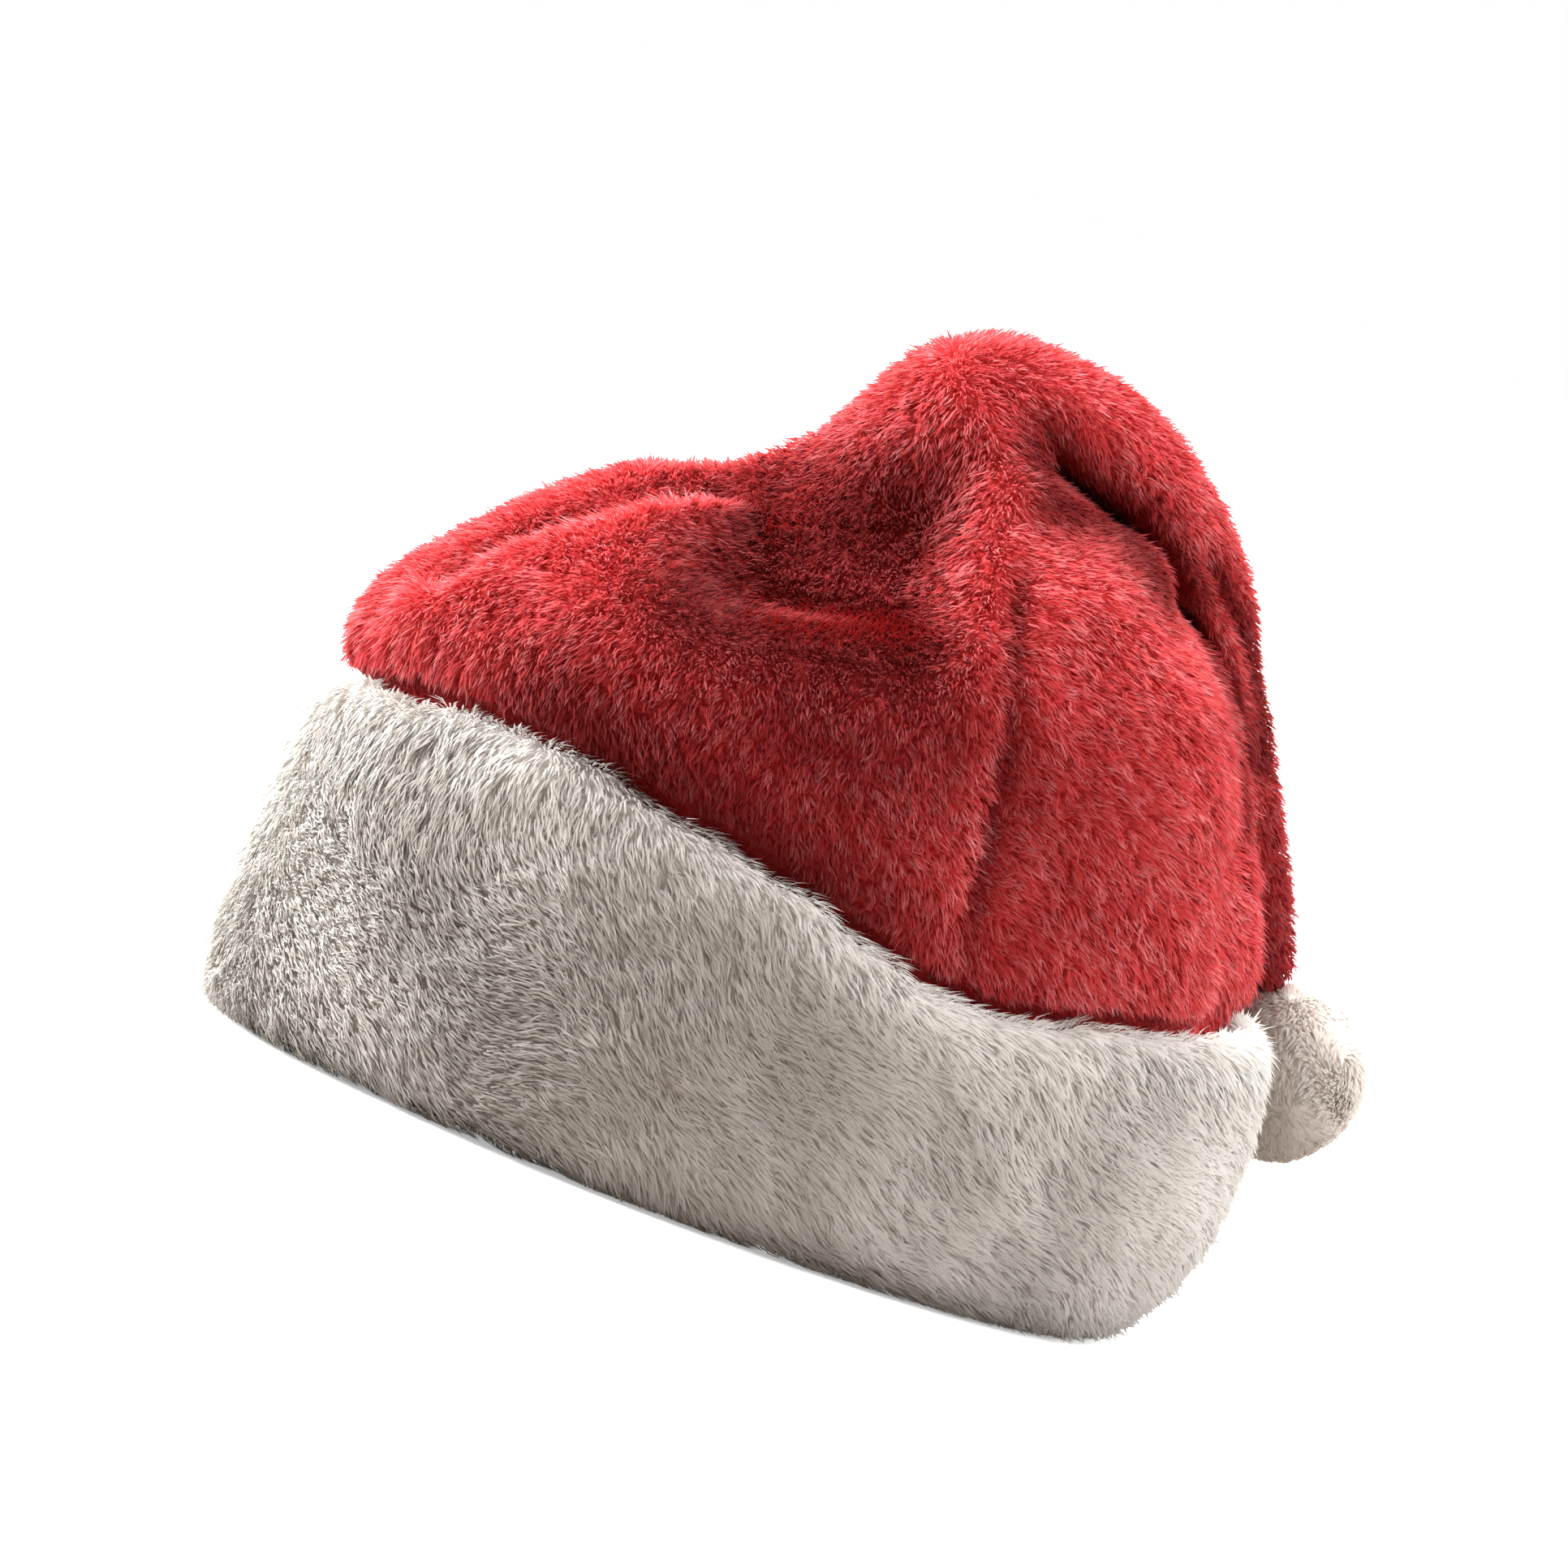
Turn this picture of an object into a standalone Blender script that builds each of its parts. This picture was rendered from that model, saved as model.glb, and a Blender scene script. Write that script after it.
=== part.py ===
"""Santa hat: a red plush crown folded over into a tail, a padded white band and a white pompom.

Metres, +Z up. The hat stands on its rim at z = 0, with its front towards -X. The crown rises to a
peak, folds over to +X and +Y, and its tail lies down the back of the dome to the pompom. The origin
is under the middle of the whole hat, so the rim's own centre lies a little to -X of it.
"""

import math
from typing import NamedTuple

import bmesh
import bpy
from mathutils import Matrix, Vector

# Head oval and rim
RIM_CENTRE_X = -0.0114
HEAD_HALF_LENGTH = 0.1000
HEAD_HALF_WIDTH = 0.0800
SEAT_GAP = 0.0005

# Crown
CLOTH_THICKNESS = 0.0020
TIP_THICKNESS_SHARE = 0.5
TIP_THINNING_ROWS = (16.0, 18.0)
SEATED_HALF_LENGTH = HEAD_HALF_LENGTH - SEAT_GAP
SEATED_HALF_WIDTH = HEAD_HALF_WIDTH - SEAT_GAP
EDGE_MEAN = 0.0760
PEAK_ROWS = (8.5, 11.0)
WRAP_WIDTH = 0.0250
FOLD_FADE_START = -0.0080
FOLD_FADE_END = 0.0140

# Band
FOOT_CURVE = 2.0

# Points round each ring of a cage: the near half, where the folds are, has more than the far half
NEAR_STEPS = 14
FAR_STEPS = 9
CAGE_LEVELS = 1

# Shares of a point and of each neighbour in the place that smoothing gives that point
OWN_SHARE = 0.75
NEIGHBOUR_SHARE = 0.125

# Pompom
POMPOM_CENTRE = Vector((0.1143 + RIM_CENTRE_X, 0.0506, 0.0643))
POMPOM_RADIUS = 0.0192
POMPOM_LOCK = 0.0020
POMPOM_LOCK_TOP = 0.40
POMPOM_SPHERE_LEVELS = 3

# Colours
RED = (0.62, 0.035, 0.045, 1.0)
WHITE = (0.80, 0.78, 0.75, 1.0)
PLUSH_ROUGHNESS = 0.95


class Section(NamedTuple):
    """One ring of the crown, between a point on its outer run and one on its inner run.

    turn is the direction of the ring's own plane about Z, in degrees. outer and inner are distances
    from the rim's axis along it, and the heights go with them. near and far are the half widths
    towards -Y and +Y. wrap is how far the sides hang round the dome at WRAP_WIDTH from the middle,
    roundness is 1 for an oval and less for one with blunt ends, and follow is the share of the
    band's uneven edge that the ring takes up.
    """

    name: str
    turn: float
    outer: float
    outer_height: float
    inner: float
    inner_height: float
    near: float
    far: float
    wrap: float
    roundness: float
    follow: float


CROWN = (
    Section("hem", 0, -SEATED_HALF_LENGTH, 0.057, SEATED_HALF_LENGTH, 0.056,
            SEATED_HALF_WIDTH, SEATED_HALF_WIDTH, 0.0, 1.0, 1.0),
    Section("seat", 0, -0.0988, 0.074, 0.0988, 0.0735, 0.0788, 0.0788, 0.0, 1.0, 1.0),
    Section("shoulder", 0, -0.1085, 0.084, 0.1040, 0.0835, 0.0870, 0.0860, 0.0, 1.0, 1.0),
    Section("billow", 0, -0.1050, 0.095, 0.0995, 0.093, 0.0870, 0.0845, 0.0, 1.0, 0.7),
    Section("dome_low", -4, -0.0975, 0.107, 0.0935, 0.106, 0.0840, 0.0795, 0.0, 1.0, 0.3),
    Section("dome_middle", -8, -0.0855, 0.1215, 0.0880, 0.122, 0.0780, 0.0715, 0.0, 1.0, 0.1),
    Section("dome_high", -12, -0.0695, 0.136, 0.0805, 0.1385, 0.0690, 0.0605, 0.0, 1.0, 0.0),
    Section("dome_top", -13, -0.0500, 0.1465, 0.0685, 0.1515, 0.0570, 0.0470, 0.0, 1.0, 0.0),
    Section("cone_foot", -9, -0.0350, 0.1555, 0.0505, 0.1605, 0.0450, 0.0370, 0.0, 1.0, 0.0),
    Section("cone", -3, -0.0230, 0.1695, 0.0340, 0.1650, 0.0360, 0.0330, 0.0, 1.0, 0.0),
    Section("cone_tip", 3, -0.0130, 0.186, 0.0220, 0.1690, 0.0300, 0.0320, 0.0, 0.95, 0.0),
    Section("peak", 9, 0.0030, 0.1955, 0.0180, 0.173, 0.0270, 0.0330, 0.0, 0.9, 0.0),
    Section("over", 14, 0.0240, 0.1945, 0.0230, 0.173, 0.0260, 0.0345, 0.002, 0.85, 0.0),
    Section("tail_top", 19, 0.0450, 0.1870, 0.0380, 0.168, 0.0255, 0.0350, 0.006, 0.8, 0.0),
    Section("tail_bend", 23, 0.0655, 0.1730, 0.0530, 0.1570, 0.0240, 0.0350, 0.006, 0.8, 0.0),
    Section("tail_high", 26, 0.0830, 0.1520, 0.0685, 0.1405, 0.0225, 0.0330, 0.005, 0.8, 0.0),
    Section("tail_middle", 27, 0.0965, 0.128, 0.0835, 0.120, 0.0200, 0.0280, 0.004, 0.8, 0.0),
    Section("tail_low", 27, 0.1085, 0.104, 0.0965, 0.099, 0.0160, 0.0200, 0.002, 0.85, 0.0),
    Section("tail_foot", 26, 0.1170, 0.087, 0.1085, 0.085, 0.0090, 0.0100, 0.0, 0.9, 0.0),
    Section("tail_tip", 25, 0.1183, 0.0815, 0.1117, 0.0809, 0.0048, 0.0048, 0.0, 1.0, 0.0),
)


class Fold(NamedTuple):
    """A furrow or ridge of the crown, along a straight line seen from the side.

    side is -1 on the near half and 1 on the far half. start and end are x and z from the rim's
    centre, reach is how far it spreads, and lift is its height, below zero for a furrow.
    """

    name: str
    side: int
    start: tuple
    end: tuple
    reach: float
    lift: float


FOLDS = (
    Fold("hollow", -1, (-0.030, 0.139), (0.000, 0.150), 0.0170, -0.0190),
    Fold("hollow_sill", -1, (-0.050, 0.114), (0.012, 0.118), 0.0130, 0.0050),
    Fold("ridge_high", -1, (-0.004, 0.184), (0.012, 0.163), 0.0090, 0.0050),
    Fold("ridge_low", -1, (0.014, 0.160), (0.030, 0.124), 0.0110, 0.0060),
    Fold("right_bulge", -1, (0.062, 0.120), (0.082, 0.094), 0.0180, 0.0030),
    Fold("pleat", -1, (0.058, 0.152), (0.084, 0.126), 0.0090, -0.0060),
    Fold("left_valley", -1, (-0.074, 0.124), (-0.038, 0.146), 0.0090, -0.0035),
    Fold("seam_furrow", -1, (0.033, 0.112), (0.039, 0.078), 0.0120, -0.0022),
    Fold("tail_bed", 1, (0.028, 0.168), (0.070, 0.140), 0.0220, -0.0050),
    Fold("back_hollow", 1, (-0.034, 0.140), (-0.004, 0.156), 0.0150, -0.0070),
    Fold("back_furrow", 1, (-0.040, 0.118), (-0.020, 0.092), 0.0120, -0.0035),
)


class EdgePoint(NamedTuple):
    """Height of the band's upper edge at one place round the head, in degrees from +X."""

    angle: float
    height: float


BAND_EDGE = (
    EdgePoint(0, 0.0745),
    EdgePoint(45, 0.0760),
    EdgePoint(90, 0.0775),
    EdgePoint(135, 0.0765),
    EdgePoint(175, 0.0760),
    EdgePoint(188, 0.0765),
    EdgePoint(209, 0.0805),
    EdgePoint(228, 0.0845),
    EdgePoint(251, 0.0820),
    EdgePoint(268, 0.0755),
    EdgePoint(284, 0.0690),
    EdgePoint(297, 0.0622),
    EdgePoint(308, 0.0675),
    EdgePoint(322, 0.0710),
    EdgePoint(340, 0.0735),
)


class CuffPoint(NamedTuple):
    """Form of the band at one place round the head.

    wall is its thickness, foot_in is how far its rim is drawn in, and foot_rise is the height over
    which that happens.
    """

    angle: float
    wall: float
    foot_in: float
    foot_rise: float


CUFF = (
    CuffPoint(0, 0.0100, 0.0165, 0.026),
    CuffPoint(30, 0.0095, 0.0120, 0.022),
    CuffPoint(75, 0.0090, 0.0050, 0.016),
    CuffPoint(120, 0.0092, 0.0030, 0.012),
    CuffPoint(180, 0.0094, 0.0008, 0.008),
    CuffPoint(205, 0.0100, 0.0010, 0.008),
    CuffPoint(228, 0.0082, 0.0020, 0.012),
    CuffPoint(262, 0.0104, 0.0030, 0.014),
    CuffPoint(292, 0.0092, 0.0040, 0.016),
    CuffPoint(325, 0.0106, 0.0110, 0.024),
)


class CuffProfile(NamedTuple):
    """A corner of the band's section: its share of the wall, its height and where that is from."""

    across: float
    height: float
    from_edge: bool


CUFF_PROFILE = (
    CuffProfile(0.00, 0.0120, False),
    CuffProfile(0.00, -0.0280, True),
    CuffProfile(0.00, -0.0050, True),
    CuffProfile(0.24, 0.0000, True),
    CuffProfile(0.72, -0.0005, True),
    CuffProfile(1.04, -0.0070, True),
    CuffProfile(1.12, -0.0240, True),
    CuffProfile(1.12, 0.0260, False),
    CuffProfile(1.06, 0.0060, False),
    CuffProfile(0.86, 0.0000, False),
    CuffProfile(0.50, 0.0000, False),
    CuffProfile(0.16, 0.0000, False),
)


def clear_scene():
    """Remove every object of the open scene."""
    for thing in list(bpy.data.objects):
        bpy.data.objects.remove(thing, do_unlink=True)


def round_table(rows, angle, column):
    """Read one column of a table whose rows go round the head, on a smooth closed curve."""
    angles = [row.angle for row in rows]
    values = [getattr(row, column) for row in rows]
    count = len(rows)
    angle = angle % 360.0
    first = max((i for i in range(count) if angles[i] <= angle), default=count - 1)
    steps = [(first + k) % count for k in (-1, 0, 1, 2)]
    places = []
    for k, i in zip((-1, 0, 1, 2), steps):
        place = angles[i]
        if k < 0 and i > first:
            place -= 360.0
        if k > 0 and i < first:
            place += 360.0
        places.append(place)
    before, start, end, after = (values[i] for i in steps)
    span = places[2] - places[1]
    slope_start = (end - before) / (places[2] - places[0]) * span
    slope_end = (after - start) / (places[3] - places[1]) * span
    t = (angle - places[1]) / span
    return ((2 * t**3 - 3 * t**2 + 1) * start + (t**3 - 2 * t**2 + t) * slope_start
            + (3 * t**2 - 2 * t**3) * end + (t**3 - t**2) * slope_end)


def plush(name, colour):
    """A matt plush material."""
    material = bpy.data.materials.new(name)
    material.use_nodes = True
    shader = material.node_tree.nodes["Principled BSDF"]
    shader.inputs["Base Color"].default_value = colour
    shader.inputs["Roughness"].default_value = PLUSH_ROUGHNESS
    shader.inputs["Metallic"].default_value = 0.0
    return material


def mesh_object(name, shape, collection, material):
    """Turn a bmesh into a named object with one material."""
    mesh = bpy.data.meshes.new(name)
    shape.to_mesh(mesh)
    shape.free()
    mesh.shade_smooth()
    mesh.materials.append(material)
    thing = bpy.data.objects.new(name, mesh)
    collection.objects.link(thing)
    return thing


def bridge_rings(shape, rings, closed):
    """Join each ring of vertices to the next one with quads, and the last to the first if closed."""
    count = len(rings)
    for i in range(count if closed else count - 1):
        low, high = rings[i], rings[(i + 1) % count]
        for k in range(len(low)):
            n = (k + 1) % len(low)
            shape.faces.new((low[k], low[n], high[n], high[k]))


def add_smoothing(thing, levels):
    """Give an object a Subdivision Surface that keeps a flat underside flat."""
    smooth = thing.modifiers.new("smooth", "SUBSURF")
    smooth.levels = levels
    smooth.render_levels = levels
    smooth.use_limit_surface = False


def subdivided(thing, levels):
    """Replace an object's mesh with its Subdivision Surface."""
    add_smoothing(thing, levels)
    bpy.context.view_layer.update()
    evaluated = thing.evaluated_get(bpy.context.evaluated_depsgraph_get())
    mesh = bpy.data.meshes.new_from_object(evaluated)
    thing.modifiers.clear()
    cage = thing.data
    name = cage.name
    thing.data = mesh
    bpy.data.meshes.remove(cage)
    mesh.name = name


def ring_angles():
    """The places of a cage's points round the head, in degrees from +X."""
    far = [180.0 * k / FAR_STEPS for k in range(FAR_STEPS)]
    near = [180.0 + 180.0 * k / NEAR_STEPS for k in range(NEAR_STEPS)]
    return far + near


def ring_growth(angle):
    """How much larger the cage is at one of its places, to make up for what Subdivision draws in."""
    angles = ring_angles()
    place = angles.index(angle)
    before = math.radians(angle - angles[place - 1])
    after = math.radians(angles[(place + 1) % len(angles)] - angle)
    return 1.0 / (OWN_SHARE + NEIGHBOUR_SHARE * (math.cos(before) + math.cos(after)))


def blunted(value, roundness):
    """A sine or cosine raised to a power, with its sign kept."""
    return math.copysign(abs(value) ** roundness, value)


def crown_ring(row):
    """The points of one ring of the crown's cage, from its inner run round by the far side."""
    turn = math.radians(row.turn)
    along = Vector((math.cos(turn), math.sin(turn), 0.0))
    side = Vector((-math.sin(turn), math.cos(turn), 0.0))
    outer = along * row.outer + Vector((0, 0, row.outer_height))
    inner = along * row.inner + Vector((0, 0, row.inner_height))
    centre = (outer + inner) / 2.0
    half = (inner - outer) / 2.0
    points = []
    for place in ring_angles():
        angle = math.radians(place)
        width = row.far if math.sin(angle) > 0.0 else row.near
        deep = blunted(math.cos(angle), row.roundness)
        wide = width * blunted(math.sin(angle), row.roundness)
        point = centre + (half * deep + side * wide) * ring_growth(place)
        point += half.normalized() * row.wrap * (wide / WRAP_WIDTH) ** 2
        point.z += row.follow * (round_table(BAND_EDGE, place, "height") - EDGE_MEAN)
        point.x += RIM_CENTRE_X
        points.append(point)
    return points


def smooth_step(value, low, high):
    """0 below low, 1 above high, and a smooth rise between."""
    t = min(max((value - low) / (high - low), 0.0), 1.0)
    return t * t * (3.0 - 2.0 * t)


def fold_lift(fold, point):
    """How far one fold lifts a point of the crown along its normal."""
    start = Vector((fold.start[0] + RIM_CENTRE_X, fold.start[1]))
    end = Vector((fold.end[0] + RIM_CENTRE_X, fold.end[1]))
    spot = Vector((point.x, point.z))
    line = end - start
    share = min(max((spot - start).dot(line) / line.length_squared, 0.0), 1.0)
    distance = (spot - start - line * share).length
    facing = smooth_step(point.y * fold.side, FOLD_FADE_START, FOLD_FADE_END)
    return fold.lift * facing * math.exp(-((distance / fold.reach) ** 2))


def build_crown(collection, material):
    """The crown: a cone of cloth from the band to the peak, folded over there into the tail."""
    shape = bmesh.new()
    place = shape.verts.layers.float.new("row")
    rings = [[shape.verts.new(point) for point in crown_ring(row)] for row in CROWN]
    bridge_rings(shape, rings, closed=False)
    shape.faces.new(rings[-1])
    for number, ring in enumerate(rings):
        for vert in ring:
            vert[place] = float(number)
    crown = mesh_object("crown", shape, collection, material)
    subdivided(crown, CAGE_LEVELS)
    mesh = crown.data
    rows = mesh.attributes["row"].data
    normals = [vert.normal.copy() for vert in mesh.vertices]
    thickness = crown.vertex_groups.new(name="thickness")
    for vert, row, normal in zip(mesh.vertices, rows, normals):
        on_dome = 1.0 - smooth_step(row.value, *PEAK_ROWS)
        vert.co += normal * on_dome * sum(fold_lift(fold, vert.co) for fold in FOLDS)
        thin = smooth_step(row.value, *TIP_THINNING_ROWS) * (1.0 - TIP_THICKNESS_SHARE)
        thickness.add([vert.index], 1.0 - thin, "REPLACE")
    wall = crown.modifiers.new("cloth", "SOLIDIFY")
    wall.thickness = CLOTH_THICKNESS
    wall.offset = -1.0
    wall.vertex_group = thickness.name
    return crown


def cuff_section(angle):
    """The corners of the band's section at one angle round the head."""
    turn = math.radians(angle)
    wall = round_table(CUFF, angle, "wall")
    foot_in = round_table(CUFF, angle, "foot_in")
    foot_rise = round_table(CUFF, angle, "foot_rise")
    edge = round_table(BAND_EDGE, angle, "height")
    inside = Vector((HEAD_HALF_LENGTH * math.cos(turn), HEAD_HALF_WIDTH * math.sin(turn), 0.0))
    outward = Vector((math.cos(turn) / HEAD_HALF_LENGTH, math.sin(turn) / HEAD_HALF_WIDTH, 0.0))
    outward.normalize()
    corners = []
    for corner in CUFF_PROFILE:
        height = corner.height + (edge if corner.from_edge else 0.0)
        drawn_in = foot_in * max(0.0, 1.0 - height / foot_rise) ** FOOT_CURVE
        flat = (inside + outward * (corner.across * wall - drawn_in)) * ring_growth(angle)
        corners.append(Vector((flat.x + RIM_CENTRE_X, flat.y, height)))
    return corners


def build_band(collection, material):
    """The band: a padded cuff round the head, with a rolled upper edge and a flat rim."""
    shape = bmesh.new()
    rings = [[shape.verts.new(corner) for corner in cuff_section(place)] for place in ring_angles()]
    bridge_rings(shape, rings, closed=True)
    bmesh.ops.recalc_face_normals(shape, faces=shape.faces)
    band = mesh_object("band", shape, collection, material)
    add_smoothing(band, CAGE_LEVELS)
    return band


def build_pompom(collection, material):
    """The pompom: a ball whose pile stands in short locks, fused to it."""
    shape = bmesh.new()
    radius = POMPOM_RADIUS - POMPOM_LOCK
    bmesh.ops.create_icosphere(shape, subdivisions=POMPOM_SPHERE_LEVELS, radius=radius,
                               matrix=Matrix.Translation(POMPOM_CENTRE))
    raised = bmesh.ops.extrude_discrete_faces(shape, faces=shape.faces)
    for face in raised["faces"]:
        middle = face.calc_center_median()
        outward = (middle - POMPOM_CENTRE).normalized()
        for vert in face.verts:
            vert.co = middle + (vert.co - middle) * POMPOM_LOCK_TOP + outward * POMPOM_LOCK
    bmesh.ops.recalc_face_normals(shape, faces=shape.faces)
    return mesh_object("pompom", shape, collection, material)


def build_hat():
    """Build the whole hat in a collection of its own."""
    clear_scene()
    collection = bpy.data.collections.new("santa_hat")
    bpy.context.scene.collection.children.link(collection)
    white = plush("white_plush", WHITE)
    build_crown(collection, plush("red_plush", RED))
    build_band(collection, white)
    build_pompom(collection, plush("pompom_plush", WHITE))


build_hat()
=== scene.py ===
"""Looks of the santa hat: plush crown and tail, padded white band, pompom and the studio.

Metres, +Z up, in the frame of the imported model. The hat stands on its rim, its front towards -X.
Each class holds one sub-assembly: it builds the meshes and dresses them. The pile is made of flat,
tapering strands, joined into a few meshes.
"""

import logging
import math
from dataclasses import dataclass, replace
from enum import Enum

import bpy
import numpy as np
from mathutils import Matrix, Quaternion, Vector, kdtree
from mathutils.bvhtree import BVHTree


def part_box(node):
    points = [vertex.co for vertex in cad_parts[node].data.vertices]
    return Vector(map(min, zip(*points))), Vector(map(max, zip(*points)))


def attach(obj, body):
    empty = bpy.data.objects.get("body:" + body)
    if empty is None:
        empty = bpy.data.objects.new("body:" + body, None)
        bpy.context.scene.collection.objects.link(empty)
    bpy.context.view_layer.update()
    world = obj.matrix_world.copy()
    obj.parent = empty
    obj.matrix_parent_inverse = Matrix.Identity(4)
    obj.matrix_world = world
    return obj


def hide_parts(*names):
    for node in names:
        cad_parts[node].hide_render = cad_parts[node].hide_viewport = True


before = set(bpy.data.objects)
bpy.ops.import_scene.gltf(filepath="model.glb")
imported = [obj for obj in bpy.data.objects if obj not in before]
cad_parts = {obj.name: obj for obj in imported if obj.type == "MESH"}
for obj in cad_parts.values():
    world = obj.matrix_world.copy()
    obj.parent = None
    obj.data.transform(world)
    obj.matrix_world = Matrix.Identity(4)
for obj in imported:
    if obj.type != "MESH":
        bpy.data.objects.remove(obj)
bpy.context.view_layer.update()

LOG = logging.getLogger("santa_hat")
MILLIMETRE = 0.001
TINY = 1e-12
RIM_CENTRE = Vector((-0.0114, 0.0, 0.0))
FLOOR_CLEARANCE = 0.0003

Colour = tuple[float, float, float, float]
Span = tuple[float, float]
Array = np.ndarray
Socket = bpy.types.NodeSocket


class Side(Enum):
    """The half of the hat that a fold lies on."""

    NEAR = -1.0
    FAR = 1.0


class Cloth(Enum):
    """The part of the crown's cloth that a fold lies on."""

    DOME = "dome"
    TAIL = "tail"


class Zone(Enum):
    """Which strands a pile piece takes, by where their roots are."""

    ALL = "all"
    NEAR = "near"
    FAR = "far"


def smooth_step(value: Array | float, low: float, high: float) -> Array:
    """Rise smoothly from 0 at low to 1 at high.

    Args:
        value: The numbers to place between low and high.
        low: Where the rise starts.
        high: Where it ends.

    Returns:
        The height of the rise at each value.
    """
    t = np.clip((np.asarray(value) - low) / (high - low), 0.0, 1.0)
    return t * t * (3.0 - 2.0 * t)


def unit(vectors: Array) -> Array:
    """Give each row of an array the length 1."""
    return vectors / np.maximum(np.linalg.norm(vectors, axis=-1, keepdims=True), TINY)


def flattened(vectors: Array, normals: Array) -> Array:
    """Lay vectors into the surface whose normals are given, at the length 1."""
    across = np.sum(vectors * normals, axis=1, keepdims=True)
    return unit(vectors - normals * across)


@dataclass(frozen=True)
class SoftNoise:
    """A smooth random field between about -1 and 1, made of waves in random directions."""

    wavelength: float
    seed: int
    waves: int = 24
    pitch_range: Span = (0.7, 1.6)

    def at(self, points: Array) -> Array:
        """Read the field.

        Args:
            points: Places in metres, one a row.

        Returns:
            One number for each place.
        """
        rng = np.random.default_rng(self.seed)
        heading = unit(rng.normal(size=(self.waves, 3)))
        pitch = rng.uniform(*self.pitch_range, self.waves) * 2.0 * math.pi / self.wavelength
        start = rng.uniform(0.0, 2.0 * math.pi, self.waves)
        total = np.zeros(len(points))
        for direction, turns, phase in zip(heading, pitch, start):
            total += np.sin(points @ direction * turns + phase)
        return total / math.sqrt(self.waves / 2.0) / 2.0


class Bench:
    """The modelling steps that every piece shares."""

    @staticmethod
    def take_up(thing: bpy.types.Object) -> None:
        """Select one object and make it the active one.

        Args:
            thing: The object.
        """
        bpy.ops.object.select_all(action="DESELECT")
        thing.select_set(True)
        bpy.context.view_layer.objects.active = thing

    @staticmethod
    def in_edit_mode(thing: bpy.types.Object) -> None:
        """Open an object for editing with everything selected.

        Args:
            thing: The object.
        """
        Bench.take_up(thing)
        bpy.ops.object.mode_set(mode="EDIT")
        bpy.ops.mesh.select_all(action="SELECT")

    @staticmethod
    def leave_edit_mode() -> None:
        """Go back from editing."""
        bpy.ops.object.mode_set(mode="OBJECT")

    @staticmethod
    def copy_of_node(node: str, name: str, weld: float = 2e-5) -> bpy.types.Object:
        """Copy a CAD node into a new piece, welded and turned back into quads.

        Args:
            node: The CAD node's name.
            name: The new piece's name.
            weld: Distance under which its corners are one point.

        Returns:
            The new object, with no material yet.
        """
        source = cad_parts[node]
        mesh = source.data.copy()
        mesh.name = name
        mesh.materials.clear()
        thing = bpy.data.objects.new(name, mesh)
        bpy.context.scene.collection.objects.link(thing)
        Bench.in_edit_mode(thing)
        bpy.ops.mesh.remove_doubles(threshold=weld)
        bpy.ops.mesh.tris_convert_to_quads(face_threshold=math.pi, shape_threshold=math.pi)
        bpy.ops.mesh.normals_make_consistent(inside=False)
        Bench.leave_edit_mode()
        if mesh.has_custom_normals:
            bpy.ops.mesh.customdata_custom_splitnormals_clear()
        mesh.shade_smooth()
        return thing

    @staticmethod
    def apply(thing: bpy.types.Object, kind: str, **settings: object) -> None:
        """Add a modifier and apply it.

        Args:
            thing: The object that gets it.
            kind: The modifier's type.
            settings: Its settings.
        """
        Bench.take_up(thing)
        modifier = thing.modifiers.new(kind.lower(), kind)
        for key, value in settings.items():
            setattr(modifier, key, value)
        bpy.ops.object.modifier_apply(modifier=modifier.name)

    @staticmethod
    def dress(thing: bpy.types.Object, slot: str, *materials: bpy.types.Material) -> None:
        """Give a finished piece its materials and its body.

        Args:
            thing: The piece.
            slot: Not used.
            materials: The piece's materials, in the order of its faces' numbers.
        """
        thing.data.materials.clear()
        for material in materials:
            thing.data.materials.append(material)
        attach(thing, "root")


def positions(thing: bpy.types.Object) -> Array:
    """Read an object's points as an array.

    Args:
        thing: The object.

    Returns:
        Its points, one a row.
    """
    flat = np.empty(len(thing.data.vertices) * 3)
    thing.data.vertices.foreach_get("co", flat)
    return flat.reshape(-1, 3)


def set_positions(thing: bpy.types.Object, points: Array) -> None:
    """Move an object's points to those of an array."""
    thing.data.vertices.foreach_set("co", points.ravel())
    thing.data.update()


def store(mesh: bpy.types.Mesh, label: str, numbers: Array) -> None:
    """Keep one number for each point in a mesh attribute, for the materials to read."""
    layer = mesh.attributes.new(label, "FLOAT", "POINT")
    layer.data.foreach_set("value", np.asarray(numbers, np.float32))


def normals_of(thing: bpy.types.Object) -> Array:
    """Read an object's point normals as an array."""
    return np.array([corner.vector for corner in thing.data.vertex_normals])


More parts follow.
